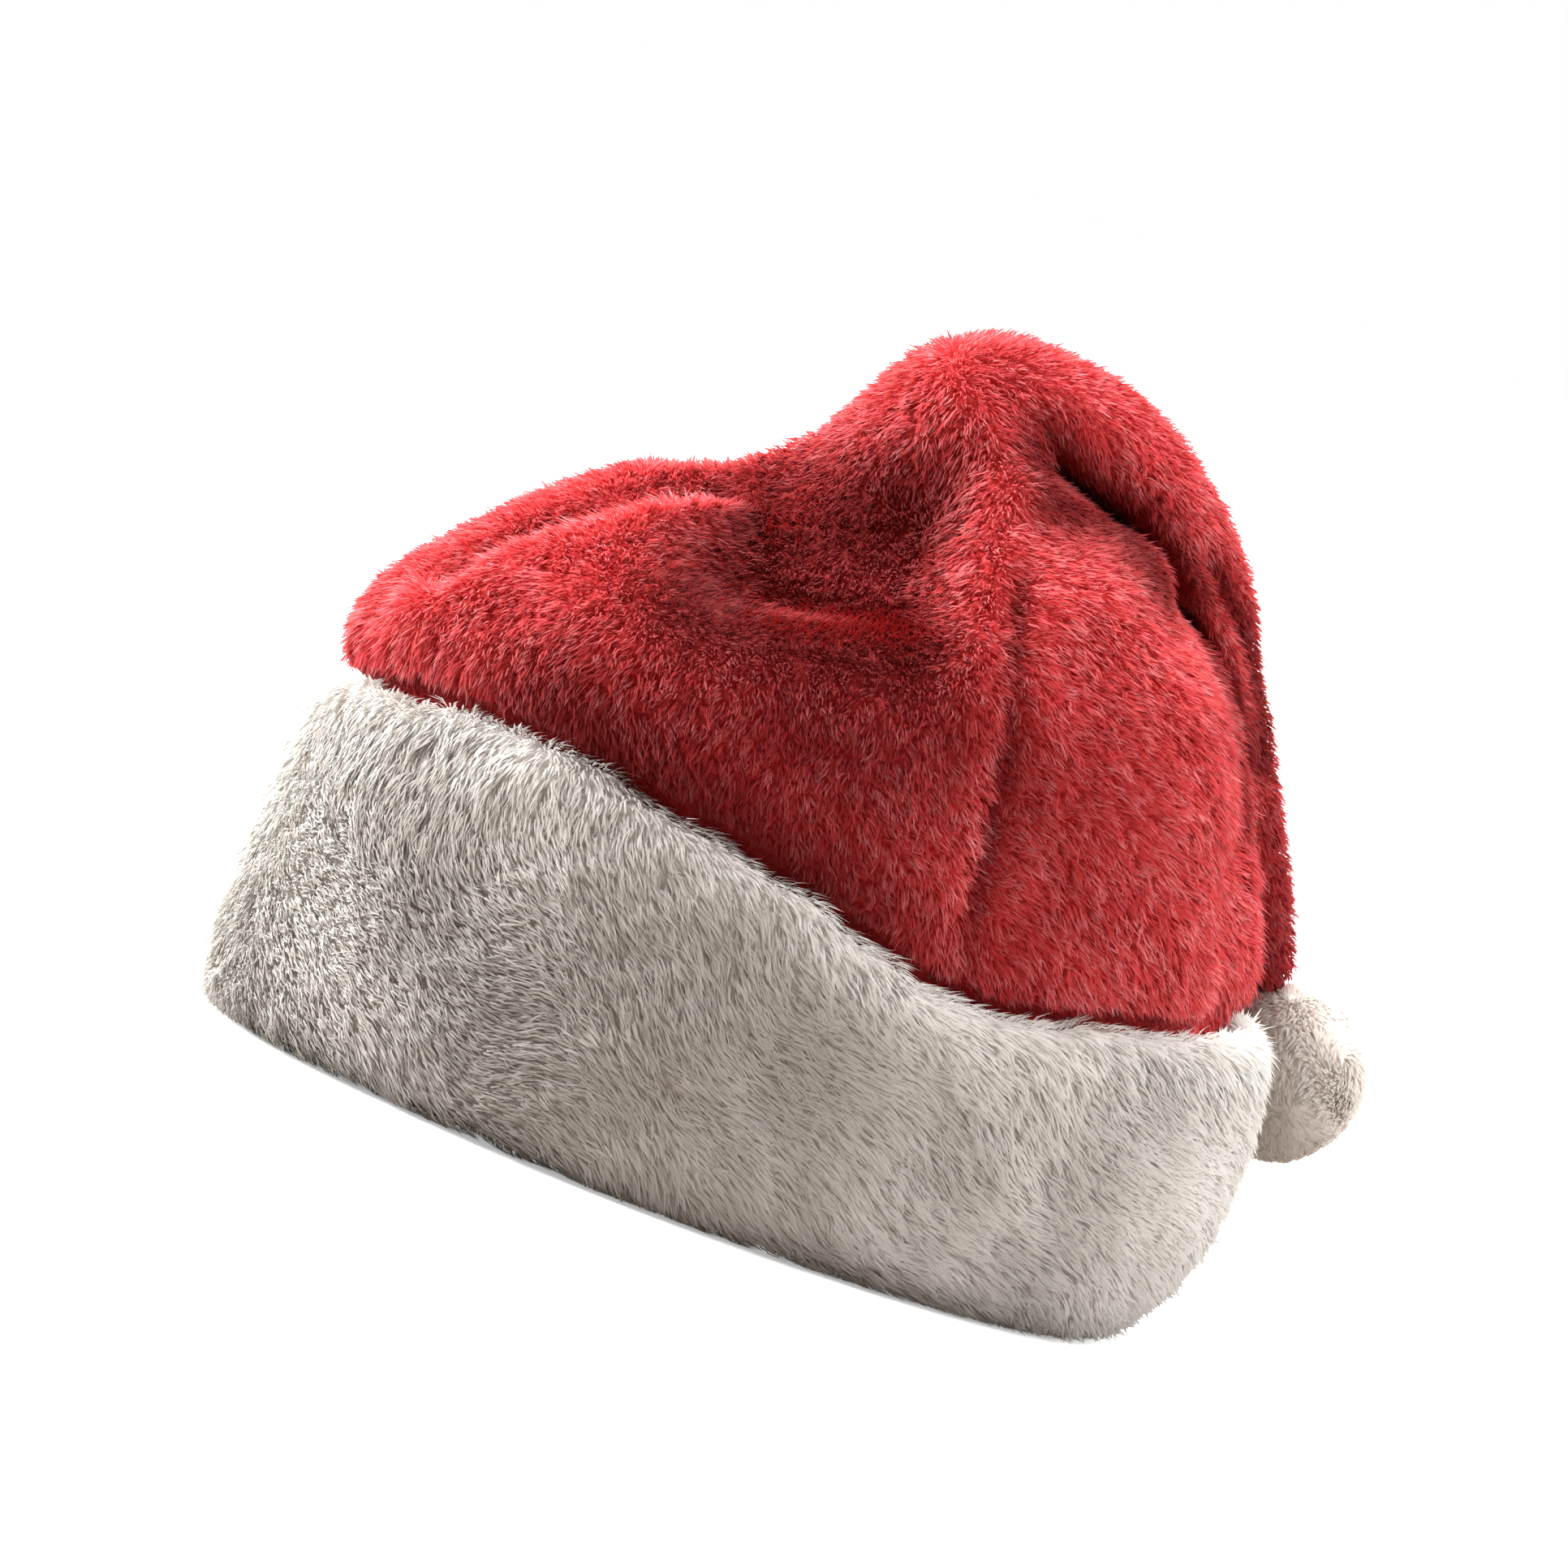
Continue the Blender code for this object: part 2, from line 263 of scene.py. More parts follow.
@dataclass(frozen=True)
class Fold:
    """A furrow or ridge of cloth, or a patch of painted shade, along a line seen from the side.

    path holds x and z in millimetres from the rim's centre. reach is how far it spreads from the
    line, in metres. lift is its height in metres, below zero for a furrow, or, for painted shade,
    its strength. edge is how far the cloth may turn away from the fold's side before the fold
    fades.
    """

    path: tuple[tuple[float, float], ...]
    reach: float
    lift: float
    cloth: Cloth = Cloth.DOME
    side: Side = Side.NEAR
    edge: float = 0.3

    def share(self, points: Array, normals: Array) -> Array:
        """Tell how strongly each point belongs to the fold.

        Args:
            points: The cloth's points.
            normals: Their normals.

        Returns:
            A number from 0 to 1 for each point.
        """
        corners = np.array(self.path) * MILLIMETRE + (RIM_CENTRE.x, 0.0)
        distance = np.full(len(points), np.inf)
        for start, end in zip(corners[:-1], corners[1:]):
            line = end - start
            spot = points[:, (0, 2)] - start
            along = np.clip(spot @ line / (line @ line), 0.0, 1.0)
            away = np.linalg.norm(spot - along[:, None] * line, axis=1)
            distance = np.minimum(distance, away)
        facing = smooth_step(normals[:, 1] * self.side.value, -self.edge, self.edge)
        return facing * np.exp(-((distance / self.reach) ** 2))


@dataclass(frozen=True)
class Room:
    """The free room over a surface, which the pile on it can fill."""

    reach: float = 0.014
    skin: float = 0.0006
    tilt: float = 45.0
    spokes: int = 6

    def over(self, thing: bpy.types.Object, *nodes: str) -> Array:
        """Measure the room over each point, up to the object itself and to some CAD nodes.

        Args:
            thing: The object.
            nodes: The CAD nodes that may stand in the way.

        Returns:
            The distance to the nearest thing in front of each point, at most the reach.
        """
        points, normals = positions(thing), normals_of(thing)
        walls = [BVHTree.FromPolygons(positions(each).tolist(),
                                      [tuple(face.vertices) for face in each.data.polygons])
                 for each in (thing, *(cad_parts[node] for node in nodes))]
        slope = math.radians(self.tilt)
        free = np.full(len(points), self.reach)
        for index, (point, normal) in enumerate(zip(points, normals)):
            up = Vector(normal)
            start = Vector(point) + up * self.skin
            across = up.orthogonal().normalized() * math.sin(slope)
            rays = [up]
            for spoke in range(self.spokes):
                turn = Quaternion(up, 2.0 * math.pi * spoke / self.spokes)
                rays.append(up * math.cos(slope) + turn @ across)
            for ray in rays:
                for wall in walls:
                    hit = wall.ray_cast(start, ray, self.reach)
                    if hit[0] is not None:
                        free[index] = min(free[index], hit[3])
        return free


@dataclass(frozen=True)
class Surface:
    """A mesh as arrays, with numbers for each point that steer the pile on it."""

    points: Array
    normals: Array
    triangles: Array
    values: dict[str, Array]

    @classmethod
    def of(cls, thing: bpy.types.Object, **values: Array) -> "Surface":
        """Take a surface from an object.

        Args:
            thing: The object, with its place in its mesh.
            values: Numbers for each of its points, by name.

        Returns:
            The surface.
        """
        mesh = thing.data
        mesh.calc_loop_triangles()
        flat = np.empty(len(mesh.loop_triangles) * 3, np.int32)
        mesh.loop_triangles.foreach_get("vertices", flat)
        return cls(positions(thing), normals_of(thing), flat.reshape(-1, 3), values)

    def scatter(self, density: float, rng: np.random.Generator) -> dict[str, Array]:
        """Spread roots evenly over the surface.

        Args:
            density: Roots for each square metre, times the value named cover.
            rng: The source of random numbers.

        Returns:
            The roots' points and normals, and their values by name.
        """
        a, b, c = (self.points[self.triangles[:, k]] for k in range(3))
        area = np.linalg.norm(np.cross(b - a, c - a), axis=1) / 2.0
        cover = self.values["cover"][self.triangles].mean(axis=1)
        steps = np.floor(np.cumsum(area * cover) * density + rng.random())
        counts = np.diff(steps, prepend=0.0).astype(int)
        owner = np.repeat(np.arange(len(counts)), counts)
        u = rng.random(len(owner))
        v = rng.random(len(owner))
        over = u + v > 1.0
        u[over], v[over] = 1.0 - u[over], 1.0 - v[over]
        weights = np.stack([1.0 - u - v, u, v], axis=1)[:, :, None]
        corners = self.triangles[owner]
        found = {
            "point": (self.points[corners] * weights).sum(axis=1),
            "normal": unit((self.normals[corners] * weights).sum(axis=1)),
        }
        for name, numbers in self.values.items():
            found[name] = (numbers[corners] * weights[:, :, 0]).sum(axis=1)
        return found


@dataclass(frozen=True)
class PileCut:
    """How one pile is cut, combed and clumped.

    Lengths are in metres, and leans and turns in degrees. The lean is measured from the surface's
    normal, at the root and at the tip. Density is in strands for each square millimetre. Calm is
    how far the strands take their shading from the surface that they stand on.
    """

    length: float
    length_spread: float
    width: float
    density: float
    lean_root: float
    lean_tip: float
    lean_spread: float
    comb_turn: float
    comb_patch: float
    strand_turn: float
    clump_gap: float
    clump_turn: float
    clump_pull: float
    roll_spread: float
    calm: float
    root_depth: float = 0.0004


class Pile:
    """Strands of plush pile, grown on a surface and kept as arrays until they are joined.

    Each strand is a kite: its root, its two sides half way up, and its tip.
    """

    CORNERS = 4
    FACES = ((0, 1, 2), (2, 1, 3))
    HEIGHTS = (0.0, 0.5, 0.5, 1.0)
    LENGTH_LIMITS = (0.45, 1.6)
    CLUMP_LIMITS = (0.7, 1.3)
    WIDTH_LIMITS = (0.7, 1.3)
    MIDDLE_PULL = 0.35
    STRAND_TONE = 0.62
    FLOOR_SPREAD = 0.0007

    def __init__(self, cut: PileCut, seed: int) -> None:
        """Start with no strands.

        Args:
            cut: How the pile is cut, combed and matted.
            seed: The start of its random numbers.
        """
        self.cut = cut
        self.rng = np.random.default_rng(seed)
        self.seed = seed
        self.strands = np.empty((0, self.CORNERS, 3))
        self.tone = np.empty(0)
        self.shade = np.empty(0)
        self.facing = np.empty((0, 3))
        self.roots: dict[str, Array] = {}

    def grow(self, surface: Surface, comb: Array | None) -> "Pile":
        """Grow the strands over a surface.

        Args:
            surface: Where the strands stand. Its values are cover, trim and shade.
            comb: Directions at the surface's points that the strands lean in, or None to lean
                each patch its own way.

        Returns:
            The pile itself.
        """
        cut, rng = self.cut, self.rng
        if comb is not None:
            lays = {f"comb_{k}": comb[:, k] for k in range(3)}
            surface = replace(surface, values=surface.values | lays)
        self.roots = surface.scatter(cut.density / MILLIMETRE**2, rng)
        point, normal = self.roots["point"], self.roots["normal"]
        count = len(point)
        clump, offset = self._clumps(point, normal)
        clumps = int(clump.max()) + 1
        lay = flattened(self._heading(point, comb is not None), normal)
        turn = SoftNoise(cut.comb_patch, self.seed + 1).at(point) * cut.comb_turn
        turn = turn + rng.normal(0.0, cut.clump_turn, clumps)[clump]
        turn = np.radians(turn + rng.normal(0.0, cut.strand_turn, count))
        lay = lay * np.cos(turn)[:, None] + np.cross(normal, lay) * np.sin(turn)[:, None]
        lean = rng.normal(0.0, cut.lean_spread, count)
        half_length = (self._lengths(clump, clumps) * 0.5)[:, None]
        root = point - normal * cut.root_depth
        middle = root + self._leaning(normal, lay, cut.lean_root + lean) * half_length
        tip = middle + self._leaning(normal, lay, cut.lean_tip + lean) * half_length
        middle -= offset * (cut.clump_pull * self.MIDDLE_PULL)
        tip -= offset * cut.clump_pull
        self._widen(root, middle, tip, normal)
        clump_tone = rng.random(clumps)[clump] * (1.0 - self.STRAND_TONE)
        self.tone = np.clip(self.STRAND_TONE * rng.random(count) + clump_tone, 0.0, 1.0)
        self.shade = self.roots["shade"]
        return self

    def _heading(self, point: Array, combed: bool) -> Array:
        """Find the directions that the strands lean in.

        Args:
            point: The roots.
            combed: Whether the surface was combed.

        Returns:
            The comb at each root, or else a soft random direction.
        """
        if combed:
            return np.stack([self.roots[f"comb_{k}"] for k in range(3)], axis=1)
        fields = [SoftNoise(self.cut.comb_patch, self.seed + k) for k in (5, 6, 7)]
        return np.stack([each.at(point) for each in fields], axis=1)

    def _lengths(self, clump: Array, clumps: int) -> Array:
        """Draw the strands' lengths.

        Args:
            clump: The number of each strand's clump.
            clumps: How many clumps there are.

        Returns:
            The lengths in metres.
        """
        spread = self.cut.length_spread
        own = self.rng.normal(1.0, spread, len(clump))
        shared = self.rng.normal(1.0, spread / 2.0, clumps)[clump]
        length = self.cut.length * self.roots["trim"] * np.clip(own, *self.LENGTH_LIMITS)
        return length * np.clip(shared, *self.CLUMP_LIMITS)

    def _widen(self, root: Array, middle: Array, tip: Array, normal: Array) -> None:
        """Widen the strands' lines into blades that face outwards and clear the floor.

        Args:
            root: The strands' roots.
            middle: Their points half way up.
            tip: Their tips.
            normal: The surface's normals at the roots.
        """
        cut, rng, count = self.cut, self.rng, len(root)
        side = np.cross(unit(tip - root), normal)
        roll = np.radians(rng.normal(0.0, cut.roll_spread, count))[:, None]
        side = unit(side) * np.cos(roll) + normal * np.sin(roll)
        half = side * (cut.width / 2.0 * rng.uniform(*self.WIDTH_LIMITS, count))[:, None]
        blade = np.cross(half, tip - root)
        outward = np.sign(np.sum(blade * normal, axis=1, keepdims=True))
        half, blade = half * outward, blade * outward
        self.strands = np.stack([root, middle + half, middle - half, tip], axis=1)
        self.facing = unit(normal * cut.calm + unit(blade) * (1.0 - cut.calm))
        low = FLOOR_CLEARANCE + rng.uniform(0.0, self.FLOOR_SPREAD, count)[:, None]
        self.strands[:, :, 2] = np.maximum(self.strands[:, :, 2], low)

    @staticmethod
    def _leaning(normal: Array, lay: Array, lean: Array) -> Array:
        """Directions that lean from the normal towards the lay by an angle in degrees."""
        angle = np.radians(lean)[:, None]
        return normal * np.cos(angle) + lay * np.sin(angle)

    def _clumps(self, point: Array, normal: Array) -> tuple[Array, Array]:
        """Gather roots into clumps.

        Args:
            point: The roots.
            normal: Their normals.

        Returns:
            The number of each root's clump, and its offset from the clump's middle.
        """
        each = max(2, round(self.cut.density * (self.cut.clump_gap / MILLIMETRE) ** 2))
        centres = self.rng.permutation(len(point))[: max(1, len(point) // each)]
        tree = kdtree.KDTree(len(centres))
        for number, index in enumerate(centres):
            tree.insert(point[index], number)
        tree.balance()
        clump = np.array([tree.find(spot)[1] for spot in point])
        offset = point - point[centres[clump]]
        offset -= normal * np.sum(offset * normal, axis=1, keepdims=True)
        return clump, offset

    def piece(self, name: str, kept: Array) -> bpy.types.Object:
        """Join the kept strands into one object.

        Args:
            name: The piece's name.
            kept: True for each strand that belongs to it.

        Returns:
            The new object.
        """
        strands = self.strands[kept]
        count = len(strands)
        faces = np.array(self.FACES)
        corners = (np.arange(count)[:, None, None] * self.CORNERS + faces).ravel()
        mesh = bpy.data.meshes.new(name)
        mesh.vertices.add(count * self.CORNERS)
        mesh.vertices.foreach_set("co", strands.ravel())
        mesh.loops.add(len(corners))
        mesh.loops.foreach_set("vertex_index", corners.astype(np.int32))
        mesh.polygons.add(count * len(faces))
        mesh.polygons.foreach_set("loop_start", np.arange(count * len(faces)) * 3)
        heights = np.tile(self.HEIGHTS, count)
        tone = np.repeat(self.tone[kept], self.CORNERS)
        shade = np.repeat(self.shade[kept], self.CORNERS)
        for label, numbers in (("height", heights), ("tone", tone), ("shade", shade)):
            store(mesh, label, numbers)
        mesh.update(calc_edges=True)
        mesh.shade_smooth()
        facing = np.repeat(self.facing[kept], self.CORNERS, axis=0)
        mesh.normals_split_custom_set_from_vertices(facing)
        thing = bpy.data.objects.new(name, mesh)
        bpy.context.scene.collection.objects.link(thing)
        LOG.info("%s: %d strands, %d triangles", name, count, count * len(faces))
        return thing

    def zone(self, zone: Zone) -> Array:
        """Tell which strands belong to a zone.

        Args:
            zone: The zone.

        Returns:
            True for each strand whose root is in it.
        """
        y = self.roots["point"][:, 1]
        if zone is Zone.NEAR:
            return y < 0.0
        if zone is Zone.FAR:
            return y >= 0.0
        return np.ones(len(y), bool)


class Nodes:
    """A short way to place shader nodes and join them."""

    def __init__(self, tree: bpy.types.NodeTree) -> None:
        """Hold the tree that the nodes go into."""
        self.tree = tree

    def add(self, kind: str, inputs: dict | None = None, **settings: object) -> bpy.types.Node:
        """Place one node.

        Args:
            kind: The node's type, without ShaderNode in front.
            inputs: Values, or sockets to join, by the input's name or number.
            settings: Properties of the node.

        Returns:
            The node.
        """
        node = self.tree.nodes.new(kind if kind.startswith("Node") else f"ShaderNode{kind}")
        for key, value in settings.items():
            setattr(node, key, value)
        self.feed(node, inputs or {})
        return node

    def feed(self, node: bpy.types.Node, inputs: dict) -> None:
        """Set a node's inputs.

        Args:
            node: The node.
            inputs: Values, or sockets to join, by the input's name or number.
        """
        for key, value in inputs.items():
            if isinstance(value, bpy.types.NodeSocket):
                self.tree.links.new(value, node.inputs[key])
            else:
                node.inputs[key].default_value = value

    def mix(self, amount: object, low: object, high: object) -> Socket:
        """Mix two colours.

        Args:
            amount: Share of the second colour, a number or a socket.
            low: The first colour, or its socket.
            high: The second colour, or its socket.

        Returns:
            The mixed colour's socket.
        """
        return self.add("Mix", {0: amount, 6: low, 7: high}, data_type="RGBA").outputs[2]

    def times(self, one: object, other: object) -> Socket:
        """Multiply two numbers or sockets."""
        return self.add("Math", {0: one, 1: other}, operation="MULTIPLY").outputs[0]

    def read(self, attribute: str) -> Socket:
        """Read a number that a mesh keeps for each of its points."""
        return self.add("Attribute", attribute_name=attribute).outputs["Fac"]

    def place(self) -> Socket:
        """Read the place on the object."""
        return self.add("TexCoord").outputs["Object"]

    def rise(self, value: object, low: float, high: float, top: float = 1.0) -> Socket:
        """Rise smoothly from 0 at low to top at high.

        Args:
            value: The number or socket to place.
            low: Where the rise starts.
            high: Where it ends.
            top: The height that it ends at.

        Returns:
            The height's socket.
        """
        node = self.add("MapRange", {0: value, 1: low, 2: high, 3: 0.0, 4: top},
                        interpolation_type="SMOOTHSTEP")
        return node.outputs[0]


def colour_group(
    name: str, colours: tuple[str, ...], numbers: dict[str, float]
) -> bpy.types.NodeTree:
    """Start a node group that takes colours and numbers and puts out one colour.

    Args:
        name: The group's name.
        colours: Names of its colour inputs.
        numbers: Its number inputs and their values.

    Returns:
        The group.
    """
    group = bpy.data.node_groups.new(name, "ShaderNodeTree")
    for label in colours:
        group.interface.new_socket(label, in_out="INPUT", socket_type="NodeSocketColor")
    for label, value in numbers.items():
        socket = group.interface.new_socket(label, in_out="INPUT", socket_type="NodeSocketFloat")
        socket.default_value = value
    group.interface.new_socket("Colour", in_out="OUTPUT", socket_type="NodeSocketColor")
    return group


def new_material(name: str) -> tuple[bpy.types.Material, bpy.types.Node, Nodes]:
    """Start a material.

    Args:
        name: Its name.

    Returns:
        The material, its Principled node and its nodes.
    """
    material = bpy.data.materials.new(name)
    material.use_nodes = True
    return material, material.node_tree.nodes["Principled BSDF"], Nodes(material.node_tree)


class PileTone:
    """The node group that colours a strand by its height, its tone and its place, and paints shade
    on it.
    """

    NAME = "pile tone"
    COLOURS = ("Root", "Body", "Tip", "Shadow")
    BODY_FROM = 0.55
    TIP_HEIGHTS = (0.3, 1.0)
    BRIGHT_TONES = (0.35, 0.9)
    DIM_PATCHES = (0.62, 0.38)
    DIM_SHARE = 0.3

    @classmethod
    def group(cls) -> bpy.types.NodeTree:
        """Find the group, or build it the first time.

        Returns:
            The group.
        """
        if cls.NAME in bpy.data.node_groups:
            return bpy.data.node_groups[cls.NAME]
        group = colour_group(cls.NAME, cls.COLOURS, {"Patch Scale": 60.0, "Bright Share": 0.5})
        nodes = Nodes(group)
        given = nodes.add("NodeGroupInput").outputs
        height = nodes.read("height")
        patch = nodes.add("TexNoise", {"Vector": nodes.place(), "Scale": given["Patch Scale"],
                                       "Detail": 3.0, "Roughness": 0.6}).outputs["Fac"]
        colour = nodes.mix(nodes.rise(height, 0.0, cls.BODY_FROM), given["Root"], given["Body"])
        # Lighter tips on the bright strands: partly the fibres' own paler tips, partly a painted
        # highlight of the light that the tips catch.
        bright = nodes.times(nodes.rise(nodes.read("tone"), *cls.BRIGHT_TONES),
                             given["Bright Share"])
        lit = nodes.times(nodes.rise(height, *cls.TIP_HEIGHTS), bright)
        colour = nodes.mix(lit, colour, given["Tip"])
        dim = nodes.rise(patch, *cls.DIM_PATCHES, cls.DIM_SHARE)
        colour = nodes.mix(dim, colour, given["Root"])
        # Painted shade: mix towards the shadow colour by the strand's shade.
        nodes.add("NodeGroupOutput",
                  {"Colour": nodes.mix(nodes.read("shade"), colour, given["Shadow"])})
        return group


@dataclass(frozen=True)
class PlushFinish:
    """Plush pile: its colours from root to tip, and how it shines."""

    name: str
    root: Colour
    body: Colour
    tip: Colour
    # The colour that painted shade darkens the pile and the backing towards.
    shadow: Colour
    bright_share: float
    roughness: float
    sheen: float
    sheen_roughness: float
    sheen_tint: Colour
    specular: float
    translucence: float = 0.42
    patch_scale: float = 60.0
    grain_scale: float = 700.0
    grain_span: Span = (0.35, 0.65)
    grain_bump: float = 0.6
    grain_height: float = 0.0008

    def _start(self, part: str) -> tuple[bpy.types.Material, bpy.types.Node, Nodes]:
        """Start the material of one part of the plush.

        Args:
            part: The part's name.

        Returns:
            The material, its Principled node and its nodes.
        """
        material, shader, nodes = new_material(f"{self.name}_{part}")
        nodes.feed(shader, {"Roughness": self.roughness, "Sheen Weight": self.sheen,
                            "Sheen Roughness": self.sheen_roughness,
                            "Sheen Tint": self.sheen_tint, "Specular IOR Level": self.specular})
        return material, shader, nodes

    def pile(self) -> bpy.types.Material:
        """Make the material of the strands.

        Returns:
            The material.
        """
        material, shader, nodes = self._start("pile")
        tone = nodes.add("Group", node_tree=PileTone.group())
        nodes.feed(tone, dict(zip(PileTone.COLOURS, (self.root, self.body, self.tip, self.shadow))))
        nodes.feed(tone, {"Patch Scale": self.patch_scale, "Bright Share": self.bright_share})
        nodes.feed(shader, {"Base Color": tone.outputs["Colour"]})
        through = nodes.add("BsdfTranslucent", {"Color": tone.outputs["Colour"]})
        both = nodes.add("MixShader", {0: self.translucence, 1: shader.outputs[0],
                                       2: through.outputs[0]})
        nodes.feed(material.node_tree.nodes["Material Output"], {"Surface": both.outputs[0]})
        return material

    def backing(self) -> bpy.types.Material:
        """Make the material of the cloth that the strands stand in: short, flattened roots.

        Returns:
            The material.
        """
        material, shader, nodes = self._start("backing")
        grain = nodes.add("TexNoise", {"Vector": nodes.place(), "Scale": self.grain_scale,
                                       "Detail": 4.0}).outputs["Fac"]
        colour = nodes.mix(nodes.rise(grain, *self.grain_span), self.root, self.body)
        # Painted shade: the backing darkens towards the shadow colour where the cloth's shade is
        # high.
        colour = nodes.mix(nodes.read("shade"), colour, self.shadow)
        bump = nodes.add("Bump", {"Height": grain, "Strength": self.grain_bump,
                                  "Distance": self.grain_height})
        nodes.feed(shader, {"Base Color": colour, "Normal": bump.outputs["Normal"]})
        return material


@dataclass(frozen=True)
class LiningFinish:
    """The knitted reverse side of the plush, seen inside the hat."""

    name: str
    yarn: Colour
    gap: Colour
    rib_pitch: float = 0.0010527578
    waver: float = 1.5
    rib_bump: float = 0.7
    rib_height: float = 0.0005
    roughness: float = 0.92
    specular: float = 0.2

    def material(self) -> bpy.types.Material:
        """Build the material: fine ribs round the hat, crossed by rows of stitches.

        Returns:
            The material.
        """
        material, shader, nodes = new_material(self.name)
        # At scale 1 the bands of a wave texture lie a twentieth of a full turn apart.
        ribs, rows = (
            nodes.add("TexWave", {"Vector": nodes.place(), "Distortion": self.waver,
                                  "Detail Scale": 2.0, "Scale": math.pi / 10.0 / self.rib_pitch},
                      bands_direction=way).outputs["Fac"]
            for way in ("Z", "DIAGONAL")
        )
        knit = nodes.times(ribs, rows)
        bump = nodes.add("Bump", {"Height": knit, "Strength": self.rib_bump,
                                  "Distance": self.rib_height})
        nodes.feed(shader, {"Base Color": nodes.mix(knit, self.gap, self.yarn),
                            "Normal": bump.outputs["Normal"], "Roughness": self.roughness,
                            "Specular IOR Level": self.specular})
        return material


RED_PLUSH = PlushFinish(
    name="red_plush",
    root=(0.44, 0.009, 0.010, 1.0),
    body=(0.70, 0.072, 0.078, 1.0),
    # Pale pink tips: partly the fibres' own colour, partly a painted highlight.
    tip=(0.96, 0.52, 0.54, 1.0),
    shadow=(0.155, 0.003, 0.003, 1.0),
    bright_share=0.7,
    roughness=0.60,
    sheen=0.10,
    sheen_roughness=0.4,
    sheen_tint=(1.0, 0.80, 0.80, 1.0),
    specular=0.06,
)
WHITE_PLUSH = PlushFinish(
    name="white_plush",
    root=(0.74, 0.71, 0.67, 1.0),
    body=(0.81, 0.785, 0.75, 1.0),
    tip=(0.90, 0.89, 0.875, 1.0),
    shadow=(0.42, 0.39, 0.35, 1.0),
    bright_share=0.7,
    roughness=0.70,
    sheen=0.20,
    sheen_roughness=0.5,
    sheen_tint=(1.0, 1.0, 1.0, 1.0),
    specular=0.15,
    patch_scale=45.0,
)
POMPOM_PLUSH = replace(WHITE_PLUSH, name="pompom_plush", root=(0.88, 0.83, 0.78, 1.0),
                       body=(0.90, 0.86, 0.82, 1.0), tip=(0.92, 0.88, 0.84, 1.0),
                       bright_share=0.6, translucence=0.55)
RED_LINING = LiningFinish("red_lining", (0.42, 0.020, 0.025, 1.0), (0.16, 0.006, 0.010, 1.0))

RED_PILE = PileCut(
    length=0.0044, length_spread=0.2, width=0.00046, density=2.8,
    lean_root=30.0, lean_tip=58.0, lean_spread=8.0,
    comb_turn=20.0, comb_patch=0.034, strand_turn=14.0,
    clump_gap=0.0024, clump_turn=14.0, clump_pull=0.36,
    roll_spread=24.0, calm=0.65,
)
WHITE_PILE = PileCut(
    length=0.0060, length_spread=0.15, width=0.00046, density=2.8,
    lean_root=46.0, lean_tip=74.0, lean_spread=6.0,
    comb_turn=24.0, comb_patch=0.050, strand_turn=9.0,
    clump_gap=0.0030, clump_turn=9.0, clump_pull=0.16,
    roll_spread=14.0, calm=0.96,
)
POMPOM_PILE = PileCut(
    length=0.0034, length_spread=0.10, width=0.00070, density=5.0,
    lean_root=42.0, lean_tip=70.0, lean_spread=6.0,
    comb_turn=40.0, comb_patch=0.020, strand_turn=10.0,
    clump_gap=0.0020, clump_turn=10.0, clump_pull=0.1,
    roll_spread=24.0, calm=0.97,
)


